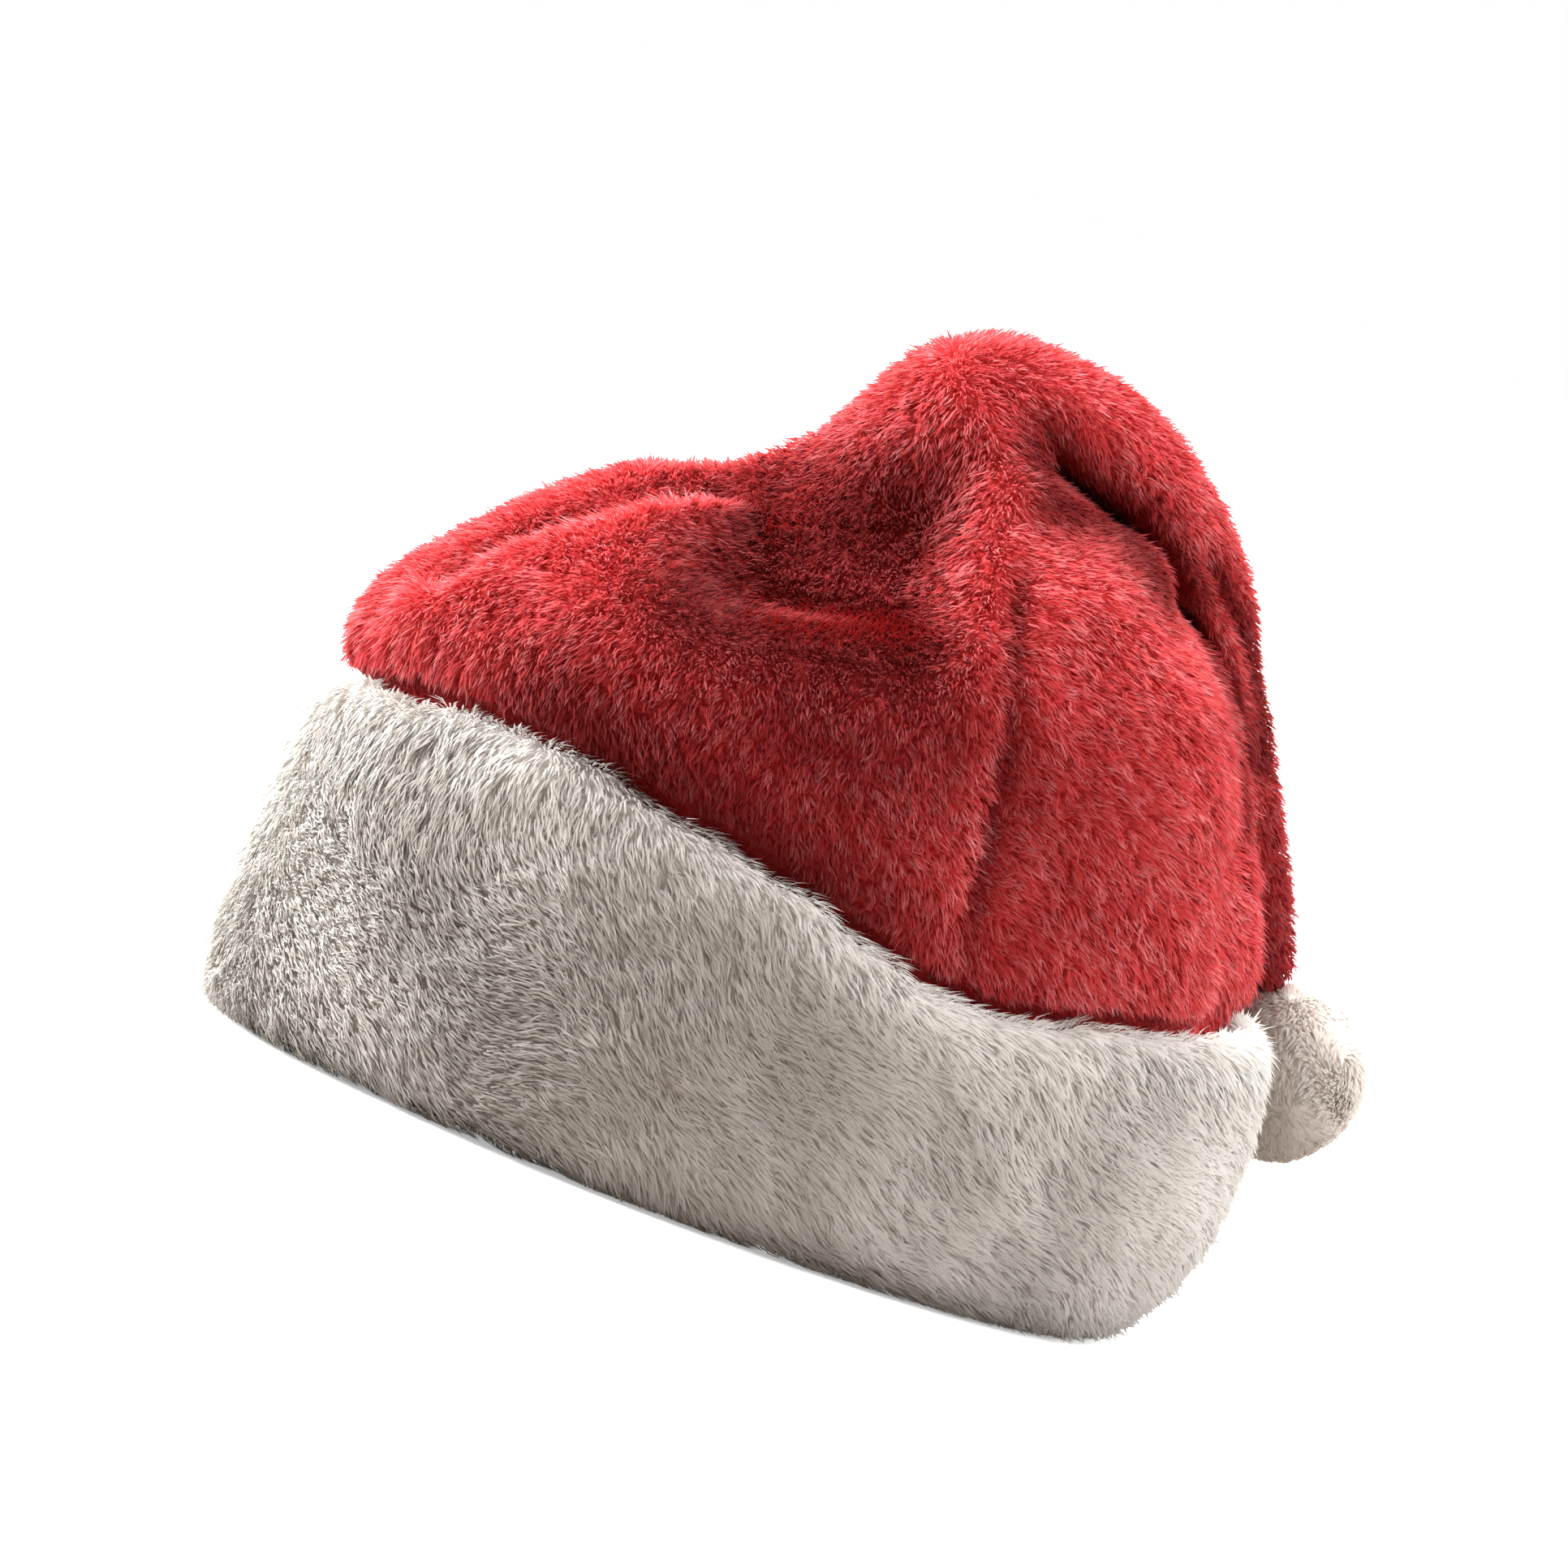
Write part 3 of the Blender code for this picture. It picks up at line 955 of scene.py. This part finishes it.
@dataclass
class Crown:
    """The red crown and its tail: a cloth wall, the pile on it and the knitted inside."""

    node: str = "crown"
    wall: float = 0.0020
    hem_rim_top: float = 0.070
    rim_facing: float = -0.5
    sharp: float = math.radians(60.0)
    subdivisions: int = 2
    rings_to_peak: float = 22.0
    peak_span: Span = (19.0, 23.0)
    bare_rings: Span = (1.5, 3.5)
    ripple: SoftNoise = SoftNoise(0.034, 11)
    ripple_height: float = 0.0007
    dome_comb: tuple[float, float, float] = (0.36, 0.0, -0.93)
    past_seam_comb: tuple[float, float, float] = (0.42, 0.0, 0.3)
    tail_comb: tuple[float, float, float] = (0.75, -0.10, -0.8)
    seam_height: float = 0.066
    seam_slope: float = 0.23
    seam_span: Span = (0.036, 0.042)
    # Where the room over the cloth is small, the pile is cut short and painted darker, a painted
    # contact shadow. Under painted shade the pile is also cut shorter, and all painted shade is
    # capped.
    crushed_room: Span = (0.0015, 0.0075)
    crushed_trim: float = 0.6
    crushed_shade: float = 0.85
    shaded_pile_trim: float = 0.35
    painted_shade_cap: float = 0.985
    flat: tuple[float, float] = (0.57, 0.36)
    flat_area: float = 0.090
    folds: tuple[Fold, ...] = (
        Fold(((-93, 96), (-81, 110), (-68, 122), (-54, 132), (-42, 138)), 0.0045, 0.0032),
        Fold(((-91, 105), (-84, 114), (-70, 127), (-56, 138), (-44, 143)), 0.0036, -0.0056),
        Fold(((-30, 146), (4, 158)), 0.0120, -0.0030),
        Fold(((-5, 184), (9, 168), (19, 148)), 0.0050, 0.0030),
        Fold(((22, 148), (31, 119), (36, 83), (40, 66)), 0.0032, -0.0026),
        Fold(((14, 150), (24, 122), (29, 90)), 0.0060, 0.0016),
        Fold(((44, 150), (58, 132), (66, 112)), 0.0110, 0.0030),
        Fold(((-62, 108), (-30, 104)), 0.0140, 0.0022),
        Fold(((-10, 100), (4, 84)), 0.0100, -0.0022),
        Fold(((60, 165), (71.5, 154), (78, 146), (82, 139), (88, 126)),
             0.0040, -0.0055, Cloth.TAIL),
        Fold(((56, 160), (67, 149), (74, 141), (82, 130)), 0.0040, 0.0030, Cloth.TAIL),
        Fold(((53, 157), (64, 150), (75, 139), (83, 127), (91, 112)), 0.0032, -0.0036),
        Fold(((60, 153), (72, 143), (84, 127)), 0.0030, -0.0030, Cloth.TAIL),
        Fold(((104, 72), (101, 88), (95, 108)), 0.0120, -0.0090),
        Fold(((108, 106), (112, 92)), 0.0110, 0.0026, Cloth.TAIL),
        Fold(((108, 106), (112, 92)), 0.0110, 0.0026, Cloth.TAIL, side=Side.FAR),
        Fold(((18, 165), (36, 164), (50, 157)), 0.0040, 0.0030),
        Fold(((20, 173), (40, 172), (56, 162)), 0.0040, 0.0022, Cloth.TAIL),
        Fold(((-60, 132), (-20, 120)), 0.0080, 0.0025, side=Side.FAR),
        Fold(((20, 120), (50, 96)), 0.0100, 0.0022, side=Side.FAR),
    )
    # Patches of painted shade: the pile is darkened towards the shadow colour in the hollow, the
    # creases, the pocket under the tail and over the front, where shade falls. It is also cut
    # shorter.
    painted_shade_patches: tuple[Fold, ...] = (
        Fold(((-30, 138), (-8, 149)), 0.0190, 0.96),
        Fold(((15, 177), (23, 167), (38, 166), (54, 157)), 0.0056, 1.00),
        Fold(((53, 157), (64, 150), (75, 139), (83, 127), (90, 114)), 0.0034, 0.95),
        Fold(((62, 152), (75, 139), (84, 126)), 0.0034, 0.90, Cloth.TAIL),
        Fold(((-34, 116), (6, 114)), 0.0240, 0.46),
        Fold(((-38, 123), (-8, 125), (4, 128)), 0.0150, 1.10),
        Fold(((-56, 90), (-20, 80), (10, 68)), 0.0170, 0.76),
        Fold(((16, 177), (24, 170), (42, 169), (58, 158)), 0.0062, 1.00, Cloth.TAIL),
        Fold(((22, 148), (31, 119), (36, 83)), 0.0024, 0.55),
        Fold(((60, 165), (71.5, 154), (78, 146), (82, 139), (88, 126)), 0.0032, 0.90, Cloth.TAIL),
        Fold(((96, 124), (104, 105), (110, 88)), 0.0100, 0.55, Cloth.TAIL),
        Fold(((-90, 106), (-84, 114), (-70, 127), (-56, 138)), 0.0026, 0.40),
        Fold(((-60, 84), (-30, 76), (0, 62)), 0.0090, 0.40),
    )

    def build(self) -> None:
        """Build the cloth and grow its pile."""
        cloth = Bench.copy_of_node(self.node, "crown_cloth")
        self._keep_outer_wall(cloth)
        self._number_rings(cloth)
        Bench.apply(cloth, "SUBSURF", levels=self.subdivisions, render_levels=self.subdivisions)
        self._fold(cloth)
        self._grow_pile(cloth)
        area = sum(face.area for face in cloth.data.polygons)
        cloth.data.attributes.remove(cloth.data.attributes["ring"])
        Bench.apply(cloth, "SOLIDIFY", thickness=self.wall, offset=-1.0,
                    material_offset=1, material_offset_rim=1)
        Bench.dress(cloth, "red_plush", RED_PLUSH.backing(), RED_LINING.material())
        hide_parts(self.node)
        LOG.info("crown_cloth: %d faces, %.4f m2 outside", len(cloth.data.polygons), area)

    def _keep_outer_wall(self, cloth: bpy.types.Object) -> None:
        """Cut the hem's rim out of the closed shell and drop the inner wall.

        Args:
            cloth: The copy of the crown.
        """
        Bench.in_edit_mode(cloth)
        bpy.ops.mesh.select_all(action="DESELECT")
        bpy.ops.mesh.select_mode(type="EDGE")
        bpy.ops.mesh.edges_select_sharp(sharpness=self.sharp)
        Bench.leave_edit_mode()
        mesh = cloth.data
        sharp = {edge.key for edge in mesh.edges if edge.select}
        for face in mesh.polygons:
            face.select = False
        for edge in mesh.edges:
            edge.select = False
        for vertex in mesh.vertices:
            vertex.select = False
        for face in mesh.polygons:
            on_rim = face.normal.z < self.rim_facing and face.center.z < self.hem_rim_top
            face.select = on_rim and sum(key in sharp for key in face.edge_keys) >= 2
        Bench.take_up(cloth)
        bpy.ops.object.mode_set(mode="EDIT")
        bpy.ops.mesh.select_mode(type="FACE")
        bpy.ops.mesh.delete(type="FACE")
        bpy.ops.mesh.select_all(action="SELECT")
        bpy.ops.mesh.separate(type="LOOSE")
        Bench.leave_edit_mode()
        walls = [thing for thing in bpy.context.selected_objects if thing.type == "MESH"]
        walls.sort(key=lambda thing: sum(face.area for face in thing.data.polygons))
        outer = walls.pop()
        if outer is not cloth:
            cloth.data, outer.data = outer.data, cloth.data
            walls.append(outer)
            walls.remove(cloth)
        for wall in walls:
            bpy.data.objects.remove(wall)

    def _number_rings(self, cloth: bpy.types.Object) -> None:
        """Count each point's rings of cloth from the hem, into the attribute ring.

        Args:
            cloth: The outer wall.
        """
        mesh = cloth.data
        uses: dict[tuple[int, int], int] = {}
        for face in mesh.polygons:
            for key in face.edge_keys:
                uses[key] = uses.get(key, 0) + 1
        beside: list[list[int]] = [[] for _ in mesh.vertices]
        for a, b in uses:
            beside[a].append(b)
            beside[b].append(a)
        ring = np.full(len(mesh.vertices), -1.0)
        wave = sorted({index for key, count in uses.items() if count == 1 for index in key})
        number = 0.0
        while wave:
            ring[wave] = number
            wave = sorted({b for a in wave for b in beside[a] if ring[b] < 0.0})
            number += 1.0
        store(mesh, "ring", ring)
        LOG.info("crown_cloth: %d rings", int(number))

    @staticmethod
    def _rings(cloth: bpy.types.Object) -> Array:
        """Read the attribute ring.

        Args:
            cloth: The outer wall.

        Returns:
            Each point's number of rings from the hem.
        """
        ring = np.empty(len(cloth.data.vertices), np.float32)
        cloth.data.attributes["ring"].data.foreach_get("value", ring)
        return ring

    def _on(self, cloth: bpy.types.Object) -> dict[Cloth, Array]:
        """Tell how much each point belongs to the dome and to the tail."""
        tail = smooth_step(self._rings(cloth), *self.peak_span)
        return {Cloth.DOME: 1.0 - tail, Cloth.TAIL: tail}

    def _fold(self, cloth: bpy.types.Object) -> None:
        """Press the finer folds into the cloth.

        Args:
            cloth: The subdivided outer wall.
        """
        points, normals = positions(cloth), normals_of(cloth)
        on = self._on(cloth)
        lift = np.zeros(len(points))
        for fold in self.folds:
            lift += fold.share(points, normals) * on[fold.cloth] * fold.lift
        lift += self.ripple.at(points) * self.ripple_height
        set_positions(cloth, points + normals * lift[:, None])

    def _comb(self, points: Array, on: dict[Cloth, Array]) -> Array:
        """Comb the dome down to the hem, slanting past the seam, and the tail to its tip.

        Args:
            points: The cloth's points.
            on: How much each belongs to the dome and to the tail.

        Returns:
            The direction that the pile leans in at each point.
        """
        out = points - np.array(RIM_CENTRE)
        across = out[:, 0] + (out[:, 2] - self.seam_height) * self.seam_slope
        past_seam = smooth_step(across, *self.seam_span)
        dome = np.array(self.dome_comb) + np.outer(past_seam, self.past_seam_comb)
        return dome * on[Cloth.DOME][:, None] + np.outer(on[Cloth.TAIL], self.tail_comb)

    def _grow_pile(self, cloth: bpy.types.Object) -> None:
        """Grow the pile, short and painted dark where crushed or shaded, and join it into pieces.

        Args:
            cloth: The folded outer wall.
        """
        points, normals = positions(cloth), normals_of(cloth)
        ring = self._rings(cloth)
        on = self._on(cloth)
        crushed = 1.0 - smooth_step(Room().over(cloth, "band", "pompom"), *self.crushed_room)
        # Painted shade: a painted contact shadow where the room is small, and the painted shade
        # patches.
        shade = self.crushed_shade * crushed
        for patch in self.painted_shade_patches:
            share = patch.share(points, normals) * on[patch.cloth] * patch.lift
            shade = np.maximum(shade, share)
        shade = np.minimum(shade, self.painted_shade_cap)
        # The cloth keeps the painted shade too, for the backing under the strands.
        store(cloth.data, "shade", shade)
        surface = Surface.of(
            cloth,
            cover=smooth_step(ring, *self.bare_rings),
            trim=(1.0 - self.crushed_trim * crushed) * (1.0 - self.shaded_pile_trim * shade),
            shade=shade,
            ring=ring,
        )
        pile = Pile(RED_PILE, seed=3).grow(surface, self._comb(points, on))
        on_tail = pile.roots["ring"] > self.rings_to_peak
        material = RED_PLUSH.pile()
        for name, kept in (
            ("crown_pile_near", pile.zone(Zone.NEAR) & ~on_tail),
            ("crown_pile_far", pile.zone(Zone.FAR) & ~on_tail),
            ("tail_pile", on_tail),
        ):
            Bench.dress(pile.piece(name, kept), "red_plush", material)


@dataclass
class Band:
    """The padded white band and the flat-lying pile on it, with painted shade on its front."""

    node: str = "band"
    foot_lift: float = 0.0012
    foot_rise: float = 0.0080
    inner_trim: float = 0.45
    inner_cover: float = 0.28
    inner_span: Span = (-0.45, 0.1)
    oval: tuple[float, float] = (0.100, 0.080)
    voxel: float = 0.0048
    pressure: float = 4.0
    frames: int = 20
    swell_cap: float = 0.0016
    calm_foot: Span = (0.002, 0.020)
    lumps: tuple[tuple[SoftNoise, float], ...] = (
        (SoftNoise(0.040, 21), 0.0007),
        (SoftNoise(0.016, 22), 0.0003),
    )
    lump_span: Span = (0.004, 0.015)
    upper_span: Span = (0.045, 0.080)
    round_comb: Span = (0.9, 0.4)
    down_comb: Span = (0.35, 1.10)
    # Patches of painted shade on the band's outer side: the pile is darkened towards the shadow
    # colour, standing in for the shade over the band's middle and in its soft dents.
    painted_shade_patches: tuple[Fold, ...] = (
        Fold(((-78, 62), (-72, 44), (-50, 26)), 0.0180, 0.60),
        Fold(((-104, 20), (-90, 8)), 0.0140, 0.35),
        Fold(((-40, 47), (5, 41), (50, 34)), 0.0180, 0.32),
        Fold(((86, 58), (80, 40), (75, 18)), 0.0120, 0.42),
    )

    def build(self) -> None:
        """Build the pad and grow its pile."""
        pad = Bench.copy_of_node(self.node, "band_pad")
        self._swell(pad)
        Bench.apply(pad, "SUBSURF", levels=1, render_levels=1)
        self._settle(pad)
        self._grow_pile(pad)
        Bench.dress(pad, "white_plush", WHITE_PLUSH.backing())
        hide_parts(self.node)
        LOG.info("band_pad: %d faces", len(pad.data.polygons))

    def _swell(self, pad: bpy.types.Object) -> None:
        """Puff the pad up by cloth simulation, and cap how far each point moves.

        Args:
            pad: The copy of the band.
        """
        Bench.apply(pad, "REMESH", mode="VOXEL", voxel_size=self.voxel)
        Bench.take_up(pad)
        before = positions(pad)
        normals = normals_of(pad)
        cloth = pad.modifiers.new("swell", "CLOTH")
        cloth.settings.use_pressure = True
        cloth.settings.uniform_pressure_force = self.pressure
        cloth.settings.effector_weights.gravity = 0.0
        cloth.point_cache.frame_start = 1
        cloth.point_cache.frame_end = self.frames
        scene = bpy.context.scene
        for number in range(1, self.frames + 1):
            scene.frame_set(number)
        bpy.ops.object.modifier_apply(modifier=cloth.name)
        scene.frame_set(1)
        moved = positions(pad) - before
        moved -= normals * np.minimum(np.sum(moved * normals, axis=1, keepdims=True), 0.0)
        far = np.linalg.norm(moved, axis=1, keepdims=True)
        moved *= np.minimum(1.0, self.swell_cap / np.maximum(far, TINY))
        most = np.linalg.norm(moved, axis=1).max()
        LOG.info("band_pad: swollen by up to %.1f mm", most / MILLIMETRE)
        swollen = before + moved * smooth_step(before[:, 2:], *self.calm_foot)
        swollen[:, 2] = np.maximum(swollen[:, 2], 0.0)
        set_positions(pad, swollen)

    def _settle(self, pad: bpy.types.Object) -> None:
        """Leave room for the pile under the rim, and give the padding its soft lumps.

        Args:
            pad: The swollen pad.
        """
        points, normals = positions(pad), normals_of(pad)
        points[:, 2] += self.foot_lift * (1.0 - smooth_step(points[:, 2], 0.0, self.foot_rise))
        above = smooth_step(points[:, 2], *self.lump_span)
        lumps = sum(noise.at(points) * height for noise, height in self.lumps)
        set_positions(pad, points + normals * (lumps * above)[:, None])

    def _outward(self, points: Array) -> Array:
        """Find the directions away from the head oval.

        Args:
            points: The pad's points.

        Returns:
            One level direction for each.
        """
        out = points - np.array(RIM_CENTRE)
        out[:, 0] /= self.oval[0] ** 2
        out[:, 1] /= self.oval[1] ** 2
        out[:, 2] = 0.0
        return unit(out)

    def _grow_pile(self, pad: bpy.types.Object) -> None:
        """Comb the pile round and down the band, short inside it, and join it into pieces.

        Args:
            pad: The settled pad.
        """
        points, normals = positions(pad), normals_of(pad)
        outward = self._outward(points)
        outer = smooth_step(np.sum(outward * normals, axis=1), *self.inner_span)
        up = np.array((0.0, 0.0, 1.0))
        high = smooth_step(points[:, 2], *self.upper_span)
        level, steep = (low + (top - low) * high for low, top in (self.round_comb, self.down_comb))
        comb = np.cross(up, outward) * level[:, None] - up * steep[:, None]
        # Painted shade from the patches, on the outer side only.
        shade = np.zeros(len(points))
        for patch in self.painted_shade_patches:
            shade = np.maximum(shade, patch.share(points, normals) * outer * patch.lift)
        store(pad.data, "shade", shade)
        surface = Surface.of(
            pad,
            cover=self.inner_cover + (1.0 - self.inner_cover) * outer,
            trim=self.inner_trim + (1.0 - self.inner_trim) * outer,
            shade=shade,
            outer=outer,
        )
        pile = Pile(WHITE_PILE, seed=5).grow(surface, comb)
        inside = pile.roots["outer"] < 0.5
        material = WHITE_PLUSH.pile()
        for name, kept in (
            ("band_pile_near", pile.zone(Zone.NEAR) & ~inside),
            ("band_pile_far", pile.zone(Zone.FAR) & ~inside),
            ("band_pile_inside", inside),
        ):
            Bench.dress(pile.piece(name, kept), "white_plush", material)


@dataclass
class Pompom:
    """The round pompom at the tail's tip: a soft head and its short, dense pile."""

    node: str = "pompom"
    pile_height: float = 0.0006
    shift: tuple[float, float, float] = (0.0014, 0.0, -0.0006)
    lumps: SoftNoise = SoftNoise(0.014, 31)
    lump: float = 0.0003
    subdivisions: int = 5

    def build(self) -> None:
        """Build the head and grow its pile."""
        low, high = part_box(self.node)
        centre = (low + high) / 2.0 + Vector(self.shift)
        radius = (high - low).z / 2.0 - self.pile_height
        bpy.ops.object.select_all(action="DESELECT")
        bpy.ops.mesh.primitive_ico_sphere_add(subdivisions=self.subdivisions, radius=radius,
                                              location=centre)
        head = bpy.context.active_object
        head.name = "pompom_head"
        head.data.name = "pompom_head"
        bpy.ops.object.transform_apply(location=True, rotation=True, scale=True)
        points, normals = positions(head), normals_of(head)
        lumps = self.lumps.at(points) * self.lump
        set_positions(head, points + normals * lumps[:, None])
        head.data.shade_smooth()
        count = len(head.data.vertices)
        surface = Surface.of(head, cover=np.ones(count), trim=np.ones(count),
                             shade=np.zeros(count))
        pile = Pile(POMPOM_PILE, seed=7).grow(surface, None)
        piece = pile.piece("pompom_pile", pile.zone(Zone.ALL))
        Bench.dress(piece, "pompom_plush", POMPOM_PLUSH.pile())
        Bench.dress(head, "pompom_plush", POMPOM_PLUSH.backing())
        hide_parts(self.node)
        LOG.info("pompom_head: %d faces", len(head.data.polygons))


@dataclass(frozen=True)
class SoftLight:
    """A large, soft studio light: where it shines from, how strong and how wide it is."""

    name: str
    place: tuple[float, float, float]
    strength: float
    spread: float
    colour: tuple[float, float, float] = (1.0, 1.0, 1.0)


@dataclass
class Studio:
    """The floor, the soft lights and the camera of the photograph."""

    floor_half: float = 30.0
    floor_seen: Colour = (0.80, 0.80, 0.80, 1.0)
    floor_glow: float = 0.42
    floor_bounce: Colour = (0.24, 0.212, 0.190, 1.0)
    world_colour: Colour = (1.0, 0.88, 0.79, 1.0)
    world_light: float = 0.15
    world_seen: float = 1.0
    frame_width: float = 0.3381
    aim: tuple[float, float, float] = (-0.0200, 0.0, 0.0877)
    elevation: float = 4.0
    roll: float = 20.9
    distance: float = 2.2
    sensor: float = 36.0
    clip: Span = (0.05, 200.0)
    lights: tuple[SoftLight, ...] = (
        SoftLight("top_light", (0.0, 0.45, 1.0), 3.8, 50.0),
        SoftLight("crest_light", (-0.60, 0.20, 1.0), 4.8, 40.0),
        SoftLight("left_light", (-1.0, 0.11, 0.35), 8.0, 35.0),
        SoftLight("right_light", (1.0, -0.14, 0.75), 4.3, 40.0),
        SoftLight("front_light", (0.30, -1.0, 0.15), 0.35, 60.0, (1.0, 0.86, 0.77)),
    )

    def build(self) -> None:
        """Set up the floor, the lights, the world and the camera."""
        self._lay_floor()
        for light in self.lights:
            self._hang(light)
        self._light_world()
        self._place_camera()

    def _lay_floor(self) -> None:
        """Lay a plain pale floor, far wider than the hat."""
        bpy.ops.object.select_all(action="DESELECT")
        bpy.ops.mesh.primitive_plane_add(size=2.0 * self.floor_half)
        floor = bpy.context.active_object
        floor.name = "floor"
        material = bpy.data.materials.new("pale_floor")
        material.use_nodes = True
        material.node_tree.nodes.clear()
        nodes = Nodes(material.node_tree)
        seen = nodes.add("LightPath").outputs["Is Camera Ray"]
        paper = nodes.add("BsdfDiffuse", {"Color": self.floor_seen})
        glow = nodes.add("Emission", {"Color": (1.0, 1.0, 1.0, 1.0), "Strength": self.floor_glow})
        bright = nodes.add("AddShader", {0: paper.outputs[0], 1: glow.outputs[0]})
        bounce = nodes.add("BsdfDiffuse", {"Color": self.floor_bounce})
        both = nodes.add("MixShader", {0: seen, 1: bounce.outputs[0], 2: bright.outputs[0]})
        nodes.add("OutputMaterial", {"Surface": both.outputs[0]})
        floor.data.materials.append(material)

    def _hang(self, light: SoftLight) -> None:
        """Hang one soft light.

        Args:
            light: What it is like.
        """
        lamp = bpy.data.lights.new(light.name, "SUN")
        lamp.energy = light.strength
        lamp.angle = math.radians(light.spread)
        lamp.color = light.colour
        thing = bpy.data.objects.new(light.name, lamp)
        thing.rotation_mode = "QUATERNION"
        thing.rotation_quaternion = Vector(light.place).to_track_quat("Z", "Y")
        thing.location = Vector(light.place)
        bpy.context.scene.collection.objects.link(thing)

    def _light_world(self) -> None:
        """Make the surroundings pale to look at, and dim as a light."""
        world = bpy.data.worlds.new("studio")
        bpy.context.scene.world = world
        world.use_nodes = True
        nodes = Nodes(world.node_tree)
        world.node_tree.nodes.clear()
        seen = nodes.add("LightPath").outputs["Is Camera Ray"]
        dim = nodes.add("Background", {"Color": self.world_colour, "Strength": self.world_light})
        pale = nodes.add("Background", {"Color": (1.0, 1.0, 1.0, 1.0), "Strength": self.world_seen})
        both = nodes.add("MixShader", {0: seen, 1: dim.outputs[0], 2: pale.outputs[0]})
        nodes.add("OutputWorld", {"Surface": both.outputs[0]})
        bpy.context.scene.view_settings.view_transform = "Standard"

    def _place_camera(self) -> None:
        """Stand the camera where the photograph was taken from."""
        lens = bpy.data.cameras.new("photo_camera")
        lens.sensor_width = self.sensor
        lens.lens = self.sensor * self.distance / self.frame_width
        lens.clip_start, lens.clip_end = self.clip
        rise = math.radians(self.elevation)
        back = Vector((0.0, -math.cos(rise), math.sin(rise)))
        camera = bpy.data.objects.new("photo_camera", lens)
        camera.rotation_mode = "QUATERNION"
        level = (-back).to_track_quat("-Z", "Y")
        camera.rotation_quaternion = level @ Quaternion((0.0, 0.0, 1.0), math.radians(self.roll))
        camera.location = Vector(self.aim) + back * self.distance
        bpy.context.scene.collection.objects.link(camera)
        bpy.context.scene.camera = camera


def main() -> None:
    """Build the hat's sub-assemblies in order, then the studio."""
    logging.basicConfig(level=logging.INFO, format="%(message)s")
    for assembly in (Crown(), Band(), Pompom(), Studio()):
        assembly.build()
        LOG.info("%s built", type(assembly).__name__)


if __name__ == "__main__":
    main()
